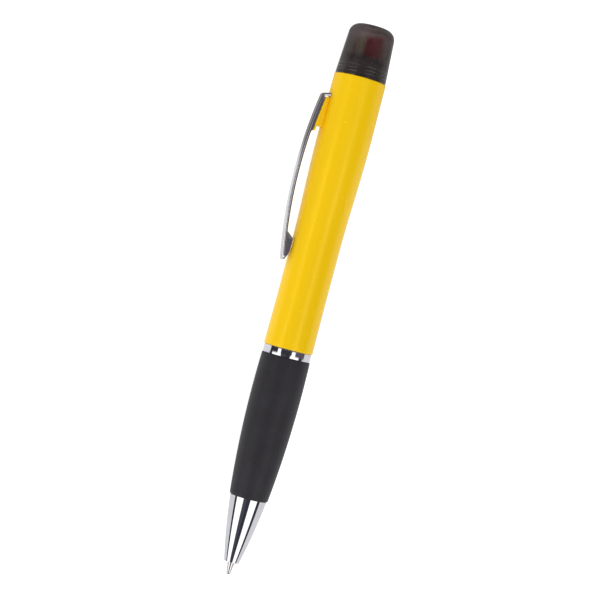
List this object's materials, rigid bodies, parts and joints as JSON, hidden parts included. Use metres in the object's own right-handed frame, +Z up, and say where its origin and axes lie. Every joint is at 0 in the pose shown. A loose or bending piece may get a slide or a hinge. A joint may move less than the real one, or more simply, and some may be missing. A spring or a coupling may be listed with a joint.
{
  "type": "counterfeit detector pen",
  "caption": "Twist-action ballpoint pen with a bowed pocket clip and a felt detector marker under a pull-off cap.",
  "frame": {"origin": "centre of the bounding box on the table that the pen lies on", "axes": "+X along the pen's axis towards the writing tip, +Z up from the table, and the clip on the -Y side, resting on the table"},
  "size_m": [0.14, 0.0156, 0.0134],
  "materials": {
    "barrel_yellow": "glossy, solid yellow",
    "chrome": "bright mirror plating",
    "cap_smoke": "clear plastic tinted smoke grey, polished",
    "grip_rubber": "soft touch, matt black",
    "holder_plastic": "moulded black, satin",
    "nib_felt": "bonded felt, stained brown-red by the ink",
    "reservoir_fibre": "wadded fibre soaked with iodine ink",
    "clear_plastic": "milky clear tube",
    "white_plastic": "moulded white, satin",
    "spring_steel": "drawn wire",
    "point_brass": "turned, nickel plated",
    "ball_metal": "ground carbide",
    "writing_ink": "black paste",
    "follower_grease": "translucent grease"
  },
  "bodies": {
    "barrel": {"upper_barrel": "barrel_yellow", "nib_holder": "holder_plastic", "detector_nib": "nib_felt", "marker_cartridge": "clear_plastic", "ink_reservoir": "reservoir_fibre", "cartridge_plug": "white_plastic", "cam_sleeve": "white_plastic"},
    "clip": {"pocket_clip": "chrome"},
    "cap": {"cap": "cap_smoke"},
    "front": {"centre_band": "chrome", "grip_sleeve": "grip_rubber", "grip_carrier": "holder_plastic", "nose_cone": "chrome", "guide_sleeve": "white_plastic", "mechanism_cap": "white_plastic", "refill_spring": "spring_steel"},
    "refill": {"refill_pusher": "white_plastic", "refill_tube": "clear_plastic", "refill_point": "point_brass", "writing_ink": "writing_ink", "ink_follower": "follower_grease"},
    "ball": {"writing_ball": "ball_metal"}
  },
  "joints": [
    {"name": "twist", "type": "hinge", "parent": "barrel", "child": "front", "pos_m": [0, 0.00111, 0.0067], "axis": [-1, 0, 0], "range_deg": [0, 180]},
    {"name": "refill_slide", "type": "slide", "parent": "front", "child": "refill", "axis": [-1, 0, 0], "range_m": [0, 0.006], "deforming": ["refill_spring"]},
    {"name": "ball_roll", "type": "hinge", "parent": "refill", "child": "ball", "pos_m": [0.0695, 0.00111, 0.0067], "axis": [0, 1, 0], "continuous": true},
    {"name": "cap_pull", "type": "slide", "parent": "barrel", "child": "cap", "axis": [-1, 0, 0], "range_m": [0, 0.022]},
    {"name": "clip_flex", "type": "hinge", "parent": "barrel", "child": "clip", "pos_m": [-0.05092, -0.00429, 0.00287], "axis": [0, 0.5783, -0.8158], "range_deg": [0, 4], "stiffness_Nm_per_rad": 2, "springref_deg": -0.57}
  ],
  "couplings": [
    {"joint": "refill_slide", "follows": "twist", "m_per_rad": 0.0019098}
  ]
}
